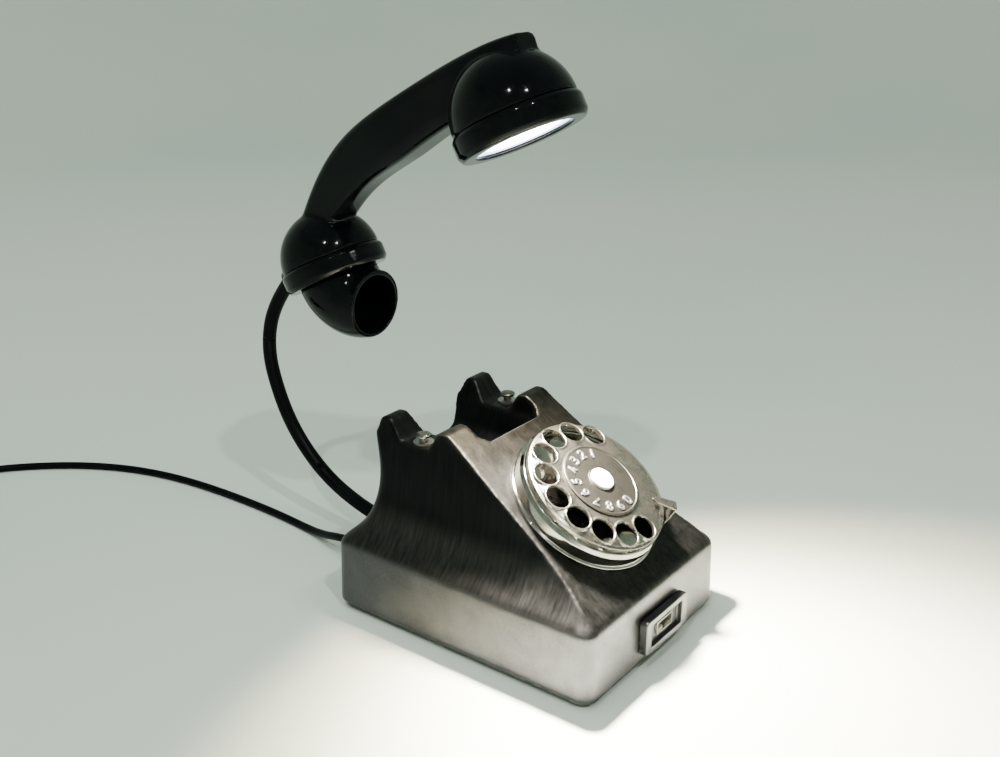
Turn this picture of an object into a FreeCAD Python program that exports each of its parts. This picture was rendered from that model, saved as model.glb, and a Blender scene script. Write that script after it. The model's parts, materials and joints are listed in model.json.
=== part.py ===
"""Desk telephone rebuilt as a lamp: cast body, rotary dial, handset on a bent arm.

Frame: millimetres, +Z up, origin on the floor under the middle of the body.
The dial and the USB socket face -Y, +X is the telephone's right seen from the front.
"""
import FreeCAD, Part
import math
import os

from FreeCAD import Placement, Rotation, Vector

doc = FreeCAD.newDocument("TelephoneLamp")
sheet = doc.addObject("Spreadsheet::Sheet", "Sizes")

SIZES = [
    ("skirt_width", 121.4, "skirt top, side to side"),
    ("skirt_depth", 158.4, "skirt top, front to rear"),
    ("skirt_flare", 1.4, "added to width and depth at the skirt's foot"),
    ("skirt_bottom", 4.0, "underside of the casting above the floor"),
    ("skirt_top", 36.0, "height where the skirt turns into the flare"),
    ("wall", 3.0, "casting wall"),
    ("slope_angle", 34.6, "dial slope above horizontal, degrees"),
    ("slope_horn_y", 18.2, "where the slope plane leaves the front horns"),
    ("horn_top", 107.0, "height of the cradle horns"),
    ("valley_floor", 96.0, "height of the fork floors"),
    ("trough_floor", 80.0, "height of the hand trough"),
    ("trough_half", 18.5, "half width of the trough floor"),
    ("plate_thick", 2.5, "steel base plate"),
    ("pad_thick", 1.5, "rubber pad under the base plate"),
    ("plunger_x", 35.0, "hook plungers, from the middle"),
    ("plunger_y", 38.0, "hook plungers, behind the middle"),
    ("plunger_cap", 4.1, "radius of a plunger's cap"),
    ("plunger_stem", 2.1, "radius of a plunger's stem"),
    ("plunger_travel", 2.0, "stroke of the hook plungers"),
    ("axle_radius", 1.5, "hook lever axle"),
    ("axle_y", 56.0, "hook lever axle"),
    ("axle_z", 67.5, "hook lever axle"),
    ("wheel_radius", 38.0, "finger wheel"),
    ("wheel_web", 36.7, "radius where the wheel's web meets its rim"),
    ("hole_circle", 30.6, "circle of the finger holes"),
    ("hole_radius", 6.1, "finger hole"),
    ("hole_pitch", 25.2, "degrees between finger holes"),
    ("hole_zero", 272.2, "degrees, place of the last finger hole"),
    ("dial_y", -42.7, "middle of the wheel's rim plane"),
    ("dial_z", 82.2, "middle of the wheel's rim plane"),
    ("dial_seat", 14.1, "from the rim plane down to the slope"),
    ("can_radius", 39.6, "chrome can under the wheel"),
    ("disc_radius", 21.0, "number disc"),
    ("cap_radius", 6.2, "hub cap"),
    ("shaft_radius", 3.0, "dial shaft"),
    ("gear_module", 0.8, "dial gear"),
    ("bezel_width", 39.0, "USB bezel"),
    ("bezel_high", 18.5, "USB bezel"),
    ("bezel_thick", 4.2, "USB bezel, proud of the skirt"),
    ("port_x", 1.5, "middle of the USB socket"),
    ("port_z", 18.6, "middle of the USB socket"),
    ("arm_radius", 4.0, "bent arm"),
    ("arm_bore", 4.3, "spherical clearance at a bend of the arm"),
    ("arm_ball", 3.9, "ball end of an arm piece"),
    ("handset_tilt", 27.4, "both caps face down and this far forward, degrees"),
    ("handset_y", 126.5, "middle of the mouthpiece's face"),
    ("handset_z", 158.5, "middle of the mouthpiece's face"),
    ("mouth_radius", 29.0, "mouthpiece cap"),
    ("mouth_high", 11.0, "mouthpiece cap"),
    ("mouth_dome", 27.6, "mouthpiece dome"),
    ("ear_radius", 32.3, "earpiece cap"),
    ("ear_high", 12.0, "earpiece cap"),
    ("ear_dome", 31.0, "earpiece dome"),
    ("ear_along", 150.8, "earpiece middle, along the handset"),
    ("ear_up", 19.3, "earpiece face above the mouthpiece's face"),
    ("cord_radius", 2.25, "mains lead"),
    ("coil_outer", 38.7, "coil of spare lead, outside radius"),
    ("coil_inner", 15.7, "coil of spare lead, radius of the hole"),
    ("coil_high", 9.25, "coil of spare lead, two layers of turns"),
]

for row, (alias, number, note) in enumerate(SIZES, start=1):
    sheet.set(f"A{row}", note)
    sheet.set(f"B{row}", str(number))
    sheet.setAlias(f"B{row}", alias)
doc.recompute()

NODES = []


def size(alias):
    """A driving dimension, read back from the sheet."""
    return float(sheet.get(alias))


def put(thing, **fields):
    """Set fields; text is an expression over the sheet's aliases, written with a leading dot."""
    for name, value in fields.items():
        if isinstance(value, str):
            thing.setExpression(name, value.replace(" .", " Sizes."))
        else:
            setattr(thing, name, value)
    return thing


def at(x=0.0, y=0.0, z=0.0, axis=(0, 0, 1), angle=0.0):
    return Placement(Vector(x, y, z), Rotation(Vector(*axis), angle))


def along(point, direction):
    """A placement whose local Z runs along the direction."""
    return Placement(Vector(*point), Rotation(Vector(0, 0, 1), Vector(*direction)))


def node(thing, label):
    """Name a finished sub-part; the label is its file's name."""
    thing.Label = label
    NODES.append(thing)
    return thing


def box(name, length, width, height, place):
    thing = doc.addObject("Part::Box", name)
    thing.Placement = place
    return put(thing, Length=length, Width=width, Height=height)


def cylinder(name, radius, height, place):
    thing = doc.addObject("Part::Cylinder", name)
    thing.Placement = place
    return put(thing, Radius=radius, Height=height)


def sphere(name, radius, place):
    thing = doc.addObject("Part::Sphere", name)
    thing.Placement = place
    return put(thing, Radius=radius)


def cone(name, radius1, radius2, height, place):
    thing = doc.addObject("Part::Cone", name)
    thing.Placement = place
    return put(thing, Radius1=radius1, Radius2=radius2, Height=height)


def cut(name, base, *tools):
    """The base less every tool."""
    for index, tool in enumerate(tools):
        result = doc.addObject("Part::Cut", f"{name}_{index}")
        result.Base = base
        result.Tool = tool
        base = result
    return base


def fuse(name, *things):
    result = doc.addObject("Part::MultiFuse", name)
    result.Shapes = list(things)
    return result


def common(name, *things):
    result = doc.addObject("Part::MultiCommon", name)
    result.Shapes = list(things)
    return result


def group(name, *things):
    """Several separate solids that are one kind of small part."""
    result = doc.addObject("Part::Compound", name)
    result.Links = list(things)
    return result


def outline(points):
    """Edges of a closed outline; each point is (x, y) or (x, y, corner radius)."""
    count = len(points)
    corners = []
    for index in range(count):
        here = Vector(points[index][0], points[index][1], 0)
        back = Vector(points[index - 1][0], points[index - 1][1], 0) - here
        ahead_point = points[(index + 1) % count]
        ahead = Vector(ahead_point[0], ahead_point[1], 0) - here
        radius = points[index][2] if len(points[index]) > 2 else 0.0
        back.normalize()
        ahead.normalize()
        if radius:
            half = back.getAngle(ahead) / 2.0
            reach = radius / math.tan(half)
            middle = back + ahead
            middle.normalize()
            top = here + middle * (radius / math.sin(half) - radius)
            corners.append((here + back * reach, top, here + ahead * reach))
        else:
            corners.append((here, None, here))
    edges = []
    for index in range(count):
        first, top, last = corners[index]
        if top is not None:
            edges.append(Part.Arc(first, top, last))
        following = corners[(index + 1) % count][0]
        if (following - last).Length > 1e-6:
            edges.append(Part.LineSegment(last, following))
    return edges


def origin_plane(body, role):
    for feature in body.Origin.OriginFeatures:
        if feature.Role == role:
            return feature
    raise ValueError(role)


def sketch_on(body, role, edges):
    sketch = body.newObject("Sketcher::SketchObject", body.Name + "_sketch")
    sketch.AttachmentSupport = [(origin_plane(body, role), "")]
    sketch.MapMode = "FlatFace"
    for edge in edges:
        sketch.addGeometry(edge, False)
    return sketch


def padded(name, role, points, length, place=None, midplane=False):
    """An outline on an origin plane, padded; YZ runs along +X, XZ along -Y, XY along +Z."""
    body = doc.addObject("PartDesign::Body", name)
    sketch = sketch_on(body, role, outline(points))
    pad = body.newObject("PartDesign::Pad", name + "_pad")
    pad.Profile = sketch
    put(pad, Length=length)
    pad.Midplane = midplane
    sketch.Visibility = False
    if place is not None:
        body.Placement = place
    return body


def revolved(name, points, place):
    """An outline of (radius, height) turned round the local Z axis."""
    body = doc.addObject("PartDesign::Body", name)
    sketch = sketch_on(body, "XZ_Plane", outline(points))
    turn = body.newObject("PartDesign::Revolution", name + "_turn")
    turn.Profile = sketch
    turn.ReferenceAxis = (sketch, ["V_Axis"])
    turn.Angle = 360.0
    body.Placement = place
    return body


def section(name, points, place):
    """A free-standing closed sketch, for a loft."""
    sketch = doc.addObject("Sketcher::SketchObject", name)
    sketch.Placement = place
    for edge in outline(points):
        sketch.addGeometry(edge, False)
    return sketch


def loft(name, sections, ruled=False):
    result = doc.addObject("Part::Loft", name)
    result.Sections = sections
    result.Solid = True
    result.Ruled = ruled
    return result


def feature(name, shape):
    """A shape made directly with Part."""
    result = doc.addObject("Part::Feature", name)
    result.Shape = shape
    return result


def route(points):
    """A wire of straight runs joined by tangent arcs, each as large as its two runs allow."""
    knots = [Vector(*point) for point in points]
    edges = []
    radii = []
    last = knots[0]
    for index in range(1, len(knots) - 1):
        before = knots[index - 1] - knots[index]
        after = knots[index + 1] - knots[index]
        shorter = min(before.Length, after.Length)
        before.normalize()
        after.normalize()
        turn = math.pi - before.getAngle(after)
        reach = 0.45 * shorter
        radius = reach / math.tan(turn / 2.0)
        radii.append(radius)
        middle = before + after
        middle.normalize()
        top = knots[index] + middle * (radius / math.cos(turn / 2.0) - radius)
        first = knots[index] + before * reach
        end = knots[index] + after * reach
        edges.append(Part.LineSegment(last, first).toShape())
        edges.append(Part.Arc(first, top, end).toShape())
        last = end
    edges.append(Part.LineSegment(last, knots[-1]).toShape())
    return Part.Wire(edges), radii


def tube(name, points, radius):
    """A round solid along a route; prints its smallest radius and checks its volume."""
    path, radii = route(points)
    start = Vector(*points[0])
    direction = Vector(*points[1]) - start
    profile = Part.Wire([Part.Circle(start, direction, radius).toShape()])
    solid = path.makePipeShell([profile], True, False)
    expected = math.pi * radius ** 2 * path.Length
    print(f"{name}: length {path.Length:.1f}, radii {min(radii):.1f} to {max(radii):.1f},"
          f" volume {solid.Volume / expected:.4f} of section times length")
    return feature(name, solid)


# ---------------------------------------------------------------- casting and base

# height above the floor, half width, front, rear, corner radius
FLARE = [
    (36.0, 60.7, 79.2, 79.2, 8.0),
    (39.0, 60.1, 78.6, 78.6, 8.0),
    (41.2, 58.4, 77.2, 77.0, 8.5),
    (44.0, 55.5, 75.6, 74.2, 9.0),
    (48.0, 52.2, 74.6, 71.0, 9.0),
    (54.0, 48.9, 74.2, 68.0, 8.5),
    (62.0, 46.4, 74.0, 65.6, 8.0),
    (80.0, 44.3, 74.0, 63.8, 7.0),
    (112.0, 42.4, 74.0, 61.8, 7.0),
]


def rectangle(half_x, front, rear, corner):
    return [(-half_x, -front, corner), (half_x, -front, corner),
            (half_x, rear, corner), (-half_x, rear, corner)]


def flared_solid(name, inset):
    """Skirt and flared body, every side moved in by the inset."""
    half_x = size("skirt_width") / 2.0
    half_y = size("skirt_depth") / 2.0
    grow = size("skirt_flare") / 2.0
    low = size("skirt_bottom") - (1.0 if inset else 0.0)
    foot = section(name + "_foot", rectangle(half_x + grow - inset, half_y + grow - inset,
                                             half_y + grow - inset, 8.0 - inset), at(z=low))
    sections = []
    for index, (high, wide, front, rear, corner) in enumerate(FLARE):
        points = rectangle(wide - inset, front - inset, rear - inset, corner - inset)
        sections.append(section(f"{name}_{index}", points, at(z=high)))
    skirt = loft(name + "_skirt", [foot, sections[0]], ruled=True)
    upper = loft(name + "_upper", sections)
    return fuse(name, skirt, upper)


def slope_height(y, drop=0.0):
    """Height of the dial slope above a place on the Y axis."""
    rise = math.tan(math.radians(size("slope_angle")))
    sink = drop / math.cos(math.radians(size("slope_angle")))
    return size("horn_top") - rise * (size("slope_horn_y") - y) - sink


def sky(name, drop):
    """All that lies above the cradle's side profile, as a wide block."""
    top = size("horn_top") - 0.2 - drop
    floor = size("valley_floor") - drop
    points = [
        (-95.0, slope_height(-95.0, drop)),
        (17.6, slope_height(17.6, drop), 3.0),
        (23.4 - drop * 0.4, top, 3.5),
        (30.0 - drop * 0.3, floor, 2.5),
        (46.6 + drop * 0.3, floor, 2.5),
        (54.6 + drop * 0.4, top, 3.5),
        (60.6 - drop * 0.3, top, 2.5 if drop else 3.2),
        (64.2 - drop, top - 9.0),
        (95.0, top - 9.0),
        (95.0, 150.0),
        (-95.0, 150.0),
    ]
    return padded(name, "YZ_Plane", points, 200.0, midplane=True)


def trough(name, grow):
    """The hand trough between the cheeks, open to the rear."""
    half = size("trough_half") + grow
    floor = size("trough_floor") - grow
    across = padded(name + "_across", "XZ_Plane",
                    [(-half, floor, 6.0), (half, floor, 6.0), (half + 10.0, 110.0),
                     (-half - 10.0, 110.0)], 120.0, at(y=120.0))
    front = 8.0 - grow
    plan = padded(name + "_plan", "XY_Plane",
                  [(-40.0, 120.0), (-40.0, 40.0), (-half - 6.0, 34.0), (-half - 6.0, front, 7.0),
                   (half + 6.0, front, 7.0), (half + 6.0, 34.0), (40.0, 40.0), (40.0, 120.0)],
                  80.0, at(z=50.0))
    return common(name, across, plan)


def dial_at(along_x=0.0, up_slope=0.0, out=0.0, turn=0.0):
    """A placement on the dial: local Z points out of the slope, local Y up the slope."""
    tilt = math.radians(size("slope_angle"))
    y = size("dial_y") + up_slope * math.cos(tilt) - out * math.sin(tilt)
    z = size("dial_z") + up_slope * math.sin(tilt) + out * math.cos(tilt)
    lean = Rotation(Vector(1, 0, 0), size("slope_angle"))
    return Placement(Vector(along_x, y, z), lean.multiply(Rotation(Vector(0, 0, 1), turn)))


def corner_posts(name, radius, height, z):
    posts = []
    for index, (x, y) in enumerate([(-50, -69), (50, -69), (-50, 69), (50, 69)]):
        posts.append(cylinder(f"{name}_{index}", radius, height, at(x, y, z)))
    return posts


def make_body_shell():
    outer = cut("casting_outer", flared_solid("casting", 0.0), sky("sky_outer", 0.0),
                trough("trough_outer", 0.0))
    cavity = cut("cavity", flared_solid("hollow", size("wall")), sky("sky_inner", size("wall")),
                 trough("trough_inner", size("wall")))
    shell = cut("casting_hollow", outer, cavity)
    posts = common("posts_kept", fuse("posts", *corner_posts("post", 4.0, 46.0, 4.0)), outer)
    shell = fuse("casting_posts", shell, posts)
    tools = corner_posts("post_bore", 1.6, 14.0, 3.0)
    for sign in (-1, 1):
        tools.append(cylinder(f"plunger_hole_{sign + 1}", 3.6, 20.0,
                              at(sign * size("plunger_x"), size("plunger_y"), 85.0)))
    tools.append(cylinder("dial_hole", 33.0, 12.0, dial_at(out=-size("dial_seat") - 8.0)))
    tools.append(box("port_hole", 33.0, 16.0, 14.4,
                     at(size("port_x") - 16.5, -84.0, size("port_z") - 7.2)))
    tools.append(cylinder("arm_hole", 4.8, 16.0, along((0, 70, 17.0), (0, 1, 0))))
    tools.append(cylinder("cord_hole", 4.4, 16.0, along((-22, 70, 13.0), (0, 1, 0))))
    node(cut("body_shell", shell, *tools), "body_shell")


def make_base():
    half_x = size("skirt_width") / 2.0 - 1.6
    half_y = size("skirt_depth") / 2.0 - 1.6
    plate = padded("plate", "XY_Plane", rectangle(half_x, half_y, half_y, 7.0),
                   " .plate_thick", at(z=size("pad_thick")))
    bores = corner_posts("plate_bore", 1.6, 8.0, 0.0)
    seats = corner_posts("plate_seat", 3.2, 1.6, 0.4)
    node(cut("base_plate", plate, *bores, *seats), "base_plate")
    screws = []
    heads = corner_posts("screw_head", 3.0, 1.1, 0.9)
    shanks = corner_posts("screw_shank", 1.5, 12.0, 2.0)
    for head, shank in zip(heads, shanks):
        screws.append(fuse(head.Name + "_screw", head, shank))
    node(group("base_screws", *screws), "base_screws")
    pad = padded("pad", "XY_Plane", rectangle(46.0, 64.0, 64.0, 6.0), " .pad_thick", at())
    node(pad, "rubber_pad")


# ---------------------------------------------------------------- cradle switch

def make_plunger(side, sign):
    x = sign * size("plunger_x")
    y = size("plunger_y")
    floor = size("valley_floor")
    cap = revolved(f"plunger_cap_{side}",
                   [(0.0, 0.0), (3.3, 0.0), (4.1, 0.7, 0.4), (4.1, 1.8, 0.6), (3.0, 2.3, 0.6),
                    (0.0, 2.4)], at(x, y, floor + 0.8 + size("plunger_travel")))
    stem = cylinder(f"plunger_stem_{side}", " .plunger_stem", 30.1, at(x, y, floor - 26.9))
    node(fuse(f"plunger_{side}", cap, stem), f"plunger_{side}")
    flange = cylinder(f"bush_flange_{side}", 5.2, 0.7, at(x, y, floor))
    sleeve = cylinder(f"bush_sleeve_{side}", 3.5, 7.0, at(x, y, floor - 6.3))
    bore = cylinder(f"bush_bore_{side}", 2.16, 12.0, at(x, y, floor - 8.0))
    bush = cut(f"bush_{side}", fuse(f"bush_solid_{side}", flange, sleeve), bore)
    node(bush, f"plunger_bush_{side}")


def make_hook():
    y = size("axle_y")
    z = size("axle_z")
    node(cylinder("axle", " .axle_radius", 82.6, along((-41.3, y, z), (1, 0, 0))), "hook_axle")
    blade = padded("blade", "XY_Plane",
                   [(-39, 33, 2), (39, 33, 2), (39, 44), (12, 56), (-12, 56), (-39, 44)],
                   2.4, at(z=66.4))
    barrel = cylinder("barrel", 3.2, 40.0, along((-20, y, z), (1, 0, 0)))
    bore = cylinder("barrel_bore", 1.56, 90.0, along((-45, y, z), (1, 0, 0)))
    node(cut("lever", fuse("lever_solid", blade, barrel), bore), "hook_lever")
    strip = box("strip", 81.2, 11.0, 2.0, at(-40.6, 49.0, 4.0))
    shelf = box("shelf", 79.0, 26.0, 2.0, at(-39.5, 34.0, 46.0))
    uprights = []
    for sign in (-1, 1):
        uprights.append(box(f"upright_{sign + 1}", 2.0, 10.0, 67.0, at(sign * 39.6 - 1.0, 50.0, 4.0)))
    frame = fuse("frame_solid", strip, shelf, *uprights)
    holes = cylinder("frame_holes", " .axle_radius", 86.0, along((-43, y, z), (1, 0, 0)))
    node(cut("frame", frame, holes), "hook_frame")
    case = box("switch_case", 18.0, 8.0, 11.0, at(-29.0, 36.0, 48.0))
    button = box("switch_button", 3.0, 3.0, 4.9, at(-21.5, 38.5, 59.0))
    node(fuse("switch", case, button), "hook_switch")
    coil = doc.addObject("Part::Helix", "spring_line")
    coil.Pitch = 3.2
    coil.Height = 17.2
    coil.Radius = 3.4
    ring = section_ring("spring_ring", 0.5, Placement(Vector(3.4, 0, 0), Rotation(Vector(1, 0, 0), 90)))
    sweep = doc.addObject("Part::Sweep", "spring_sweep")
    sweep.Sections = [ring]
    sweep.Spine = (coil, [])
    sweep.Solid = True
    sweep.Frenet = True
    sweep.Placement = at(0.0, 40.0, 48.6)
    node(sweep, "hook_spring")


def section_ring(name, radius, place):
    sketch = doc.addObject("Sketcher::SketchObject", name)
    sketch.Placement = place
    sketch.addGeometry(Part.Circle(Vector(0, 0, 0), Vector(0, 0, 1), radius), False)
    return sketch


# ---------------------------------------------------------------- dial

GEAR_TEETH = 44
PINION_TEETH = 11
PINION_PLACE = 200.0


def gear_outline(teeth, share, start):
    """Trapezoid teeth with backlash; the share is of the pitch, the start is in degrees."""
    module = size("gear_module")
    pitch_radius = module * teeth / 2.0
    root = pitch_radius - 0.95 * module
    tip = pitch_radius + 0.6 * module
    step = 360.0 / teeth
    points = []
    for index in range(teeth):
        middle = start + index * step
        for radius, offset in ((root, -share / 1.5), (tip, -share / 3.2), (tip, share / 3.2),
                               (root, share / 1.5)):
            angle = math.radians(middle + offset * step)
            points.append((radius * math.cos(angle), radius * math.sin(angle)))
    return points


def make_dial_case():
    seat = -size("dial_seat")
    node(revolved("can", [(33.6, seat), (40.7, seat, 0.4), (40.7, seat + 1.7, 0.6),
                          (39.6, seat + 2.3), (39.6, -5.6, 1.5), (38.4, -3.4, 0.8),
                          (36.9, -3.4, 0.4), (36.9, seat + 1.4), (33.6, seat + 1.4)],
                  dial_at()), "dial_can")
    plate = cylinder("mech_plate", 36.6, 1.5, dial_at(out=seat + 1.4))
    bores = [cylinder("mech_bore", 3.06, 6.0, dial_at(out=seat - 1.0))]
    angle = math.radians(PINION_PLACE)
    reach = size("gear_module") * (GEAR_TEETH + PINION_TEETH) / 2.0
    px = reach * math.cos(angle)
    py = reach * math.sin(angle)
    bores.append(cylinder("pinion_bore", 1.26, 6.0, dial_at(px, py, seat - 1.0)))
    node(cut("dial_plate", plate, *bores), "dial_plate")
    face = cylinder("face", 36.4, 0.9, dial_at(out=-5.2))
    hole = cylinder("face_hole", 6.6, 4.0, dial_at(out=-7.0))
    node(cut("face_plate", face, hole), "face_plate")
    posts = []
    for index in range(3):
        spot = math.radians(30.0 + 120.0 * index)
        posts.append(cylinder(f"face_post_{index}", 1.8, -8.1 - seat,
                              dial_at(32 * math.cos(spot), 32 * math.sin(spot), seat + 2.9)))
    node(group("face_posts", *posts), "face_posts")


def finger_holes():
    """One tapered tool for each finger hole."""
    tools = []
    for index in range(10):
        spot = math.radians(size("hole_zero") - index * size("hole_pitch"))
        x = size("hole_circle") * math.cos(spot)
        y = size("hole_circle") * math.sin(spot)
        tools.append(cone(f"finger_hole_{index}", 5.7, 6.5, 7.0, dial_at(x, y, -2.8)))
    return tools


def make_finger_wheel():
    web = revolved("web", [(0, 1.7), (22, 1.7), (30, 1.3), (33.6, 0.6), (36.7, -0.9),
                           (36.7, 0.75), (34, 2.4), (30, 3.0), (22, 3.3), (0, 3.3)], dial_at())
    node(cut("wheel", web, *finger_holes()), "finger_wheel")
    rim = [(36.7, -2.4), (37.4, -2.5), (38.0, -1.9, 0.4), (38.0, 0.0, 0.4), (36.7, 0.75)]
    node(revolved("rim", rim, dial_at()), "wheel_rim")
    node(revolved("disc", [(0, 3.3), (21.0, 3.3), (21.0, 4.2, 0.4), (19.9, 4.4), (19.5, 4.1),
                           (7.2, 4.1), (6.9, 4.4), (0, 4.4)], dial_at()), "number_disc")
    node(revolved("cap", [(0, 4.4), (6.2, 4.4), (6.2, 5.6, 0.7), (4.0, 6.5, 1.0), (0, 6.7)],
                  dial_at()), "hub_cap")
    boss = cylinder("boss", 5.6, 4.4, dial_at(out=-2.7))
    shaft = cylinder("shaft", " .shaft_radius", 24.2, dial_at(out=-26.9))
    node(fuse("shaft_and_boss", shaft, boss), "dial_shaft")


def make_dial_gears():
    low = -size("dial_seat") - 1.4
    gear = padded("gear", "XY_Plane", gear_outline(GEAR_TEETH, 0.36, PINION_PLACE), 1.6,
                  dial_at(out=low - 0.4))
    bore = cylinder("gear_bore", " .shaft_radius", 6.0, dial_at(out=low - 3.0))
    node(cut("main_gear", gear, bore), "main_gear")
    reach = size("gear_module") * (GEAR_TEETH + PINION_TEETH) / 2.0
    spot = math.radians(PINION_PLACE)
    px = reach * math.cos(spot)
    py = reach * math.sin(spot)
    half_tooth = 180.0 / PINION_TEETH
    start = PINION_PLACE + 180.0 + half_tooth
    wheel = padded("pinion_teeth", "XY_Plane", gear_outline(PINION_TEETH, 0.36, start), 2.4,
                   dial_at(px, py, low - 0.8))
    stem = cylinder("pinion_stem", 1.2, 11.2, dial_at(px, py, low - 8.0))
    node(fuse("pinion", wheel, stem), "pulse_pinion")
    cam = padded("cam", "XY_Plane", [(-4.6, -1.6, 1.2), (4.6, -1.6, 1.2), (4.6, 1.6, 1.2),
                                     (-4.6, 1.6, 1.2)], 2.0, dial_at(px, py, low - 4.6))
    cam_bore = cylinder("cam_bore", 1.2, 4.0, dial_at(px, py, low - 5.0))
    node(cut("pulse_cam", cam, cam_bore), "pulse_cam")


def make_dial_works():
    seat = -size("dial_seat")
    bridge = cylinder("bridge_disc", 31.0, 1.2, dial_at(out=-26.2))
    bore = cylinder("bridge_bore", 3.06, 4.0, dial_at(out=-27.5))
    spot = math.radians(PINION_PLACE)
    reach = size("gear_module") * (GEAR_TEETH + PINION_TEETH) / 2.0
    end = cylinder("bridge_end", 1.26, 4.0,
                   dial_at(reach * math.cos(spot), reach * math.sin(spot), -27.5))
    node(cut("bridge", bridge, bore, end), "mech_bridge")
    pillars = []
    for index in range(3):
        angle = math.radians(110.0 + 120.0 * index)
        pillars.append(cylinder(f"pillar_{index}", 1.8, 26.4 + seat,
                                dial_at(28.6 * math.cos(angle), 28.6 * math.sin(angle), -25.0)))
    node(group("mech_pillars", *pillars), "mech_pillars")
    barrel = revolved("barrel_case", [(3.5, -25.0), (12.5, -25.0, 0.8), (12.5, -19.0, 0.8),
                                      (3.5, -19.0)], dial_at())
    node(barrel, "spring_barrel")
    angle = math.radians(20.0)
    gx = 25.4 * math.cos(angle)
    gy = 25.4 * math.sin(angle)
    drum = cylinder("drum", 5.2, 8.6, dial_at(gx, gy, -25.0))
    neck = cylinder("drum_neck", 2.0, 3.6, dial_at(gx, gy, -16.4))
    node(fuse("governor_solid", drum, neck), "governor")
    leaves = []
    for index, offset in enumerate((6.2, 7.6)):
        leaf = box(f"leaf_{index}", 12.0, 0.4, 2.0, dial_at(-26.6, -7.5 - offset, -21.2))
        leaves.append(leaf)
    block = box("leaf_block", 3.0, 3.4, 5.0, dial_at(-14.6, -16.3, -25.0))
    node(fuse("contacts", *leaves, block), "pulse_contacts")
    stop = padded("stop_blade", "XY_Plane",
                  [(27.2, -1.2, 0.6), (31.0, -2.4), (42.0, -2.9, 0.5), (42.0, 2.9, 0.5),
                   (31.0, 1.6)], 1.0, dial_at(out=4.9, turn=-50.0))
    leg = padded("stop_leg", "XY_Plane", [(40.9, -2.9), (42.0, -2.9), (42.0, 2.9), (40.9, 2.9)],
                 15.0, dial_at(out=-10.0, turn=-50.0))
    foot = padded("stop_foot", "XY_Plane", [(39.3, -2.9), (42.0, -2.9), (42.0, 2.9), (39.3, 2.9)],
                  2.5, dial_at(out=-11.2, turn=-50.0))
    trim = cylinder("stop_trim", " .can_radius", 20.0, dial_at(out=seat))
    lower = cut("stop_lower", fuse("stop_lower_solid", leg, foot), trim)
    node(fuse("stop", stop, lower), "finger_stop")


# ---------------------------------------------------------------- USB outlet and power

def make_port():
    x = size("port_x")
    z = size("port_z")
    front = -size("skirt_depth") / 2.0 - size("skirt_flare") / 2.0 - 0.15
    half = size("bezel_width") / 2.0
    rise = size("bezel_high") / 2.0
    face = padded("bezel_face", "XZ_Plane",
                  [(-half, -rise, 2.2), (half, -rise, 2.2), (half, rise, 2.2), (-half, rise, 2.2)],
                  " .bezel_thick", at(x, front, z))
    neck = padded("bezel_neck", "XZ_Plane",
                  [(-16.2, -6.9), (16.2, -6.9), (16.2, 6.9), (-16.2, 6.9)], 9.0,
                  at(x, front + 9.0, z))
    recess = padded("bezel_recess", "XZ_Plane",
                    [(-14.6, -6.0, 1.0), (14.6, -6.0, 1.0), (14.6, 6.0, 1.0), (-14.6, 6.0, 1.0)],
                    5.0, at(x, front - 1.4, z))
    slot = padded("bezel_slot", "XZ_Plane",
                  [(-7.3, -3.35), (7.3, -3.35), (7.3, 3.35), (-7.3, 3.35)], 40.0,
                  at(x, front + 30.0, z))
    node(cut("bezel", fuse("bezel_solid", face, neck), recess, slot), "usb_bezel")
    skin = padded("shell_skin", "XZ_Plane",
                  [(-7.25, -3.3, 0.4), (7.25, -3.3, 0.4), (7.25, 3.3, 0.4), (-7.25, 3.3, 0.4)],
                  16.0, at(x, front + 13.4, z))
    inside = padded("shell_inside", "XZ_Plane",
                    [(-6.65, -2.7), (6.65, -2.7), (6.65, 2.7), (-6.65, 2.7)], 15.0,
                    at(x, front + 12.4, z))
    node(cut("shell_metal", skin, inside), "usb_shell")
    tongue = padded("tongue", "XZ_Plane",
                    [(-5.6, 0.2), (5.6, 0.2), (5.6, 2.2), (-5.6, 2.2)], 11.0,
                    at(x, front + 12.4, z))
    node(tongue, "usb_tongue")
    node(box("board", 30.0, 26.0, 1.4, at(x - 15.0, front + 13.4, z - 2.0)), "usb_board")
    legs = []
    for index, (dx, dy) in enumerate([(-11, 17), (11, 17), (-11, 35), (11, 35)]):
        legs.append(cylinder(f"board_leg_{index}", 2.0, z - 2.0 - 4.0, at(x + dx, front + dy, 4.0)))
    node(group("board_legs", *legs), "board_standoffs")


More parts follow.
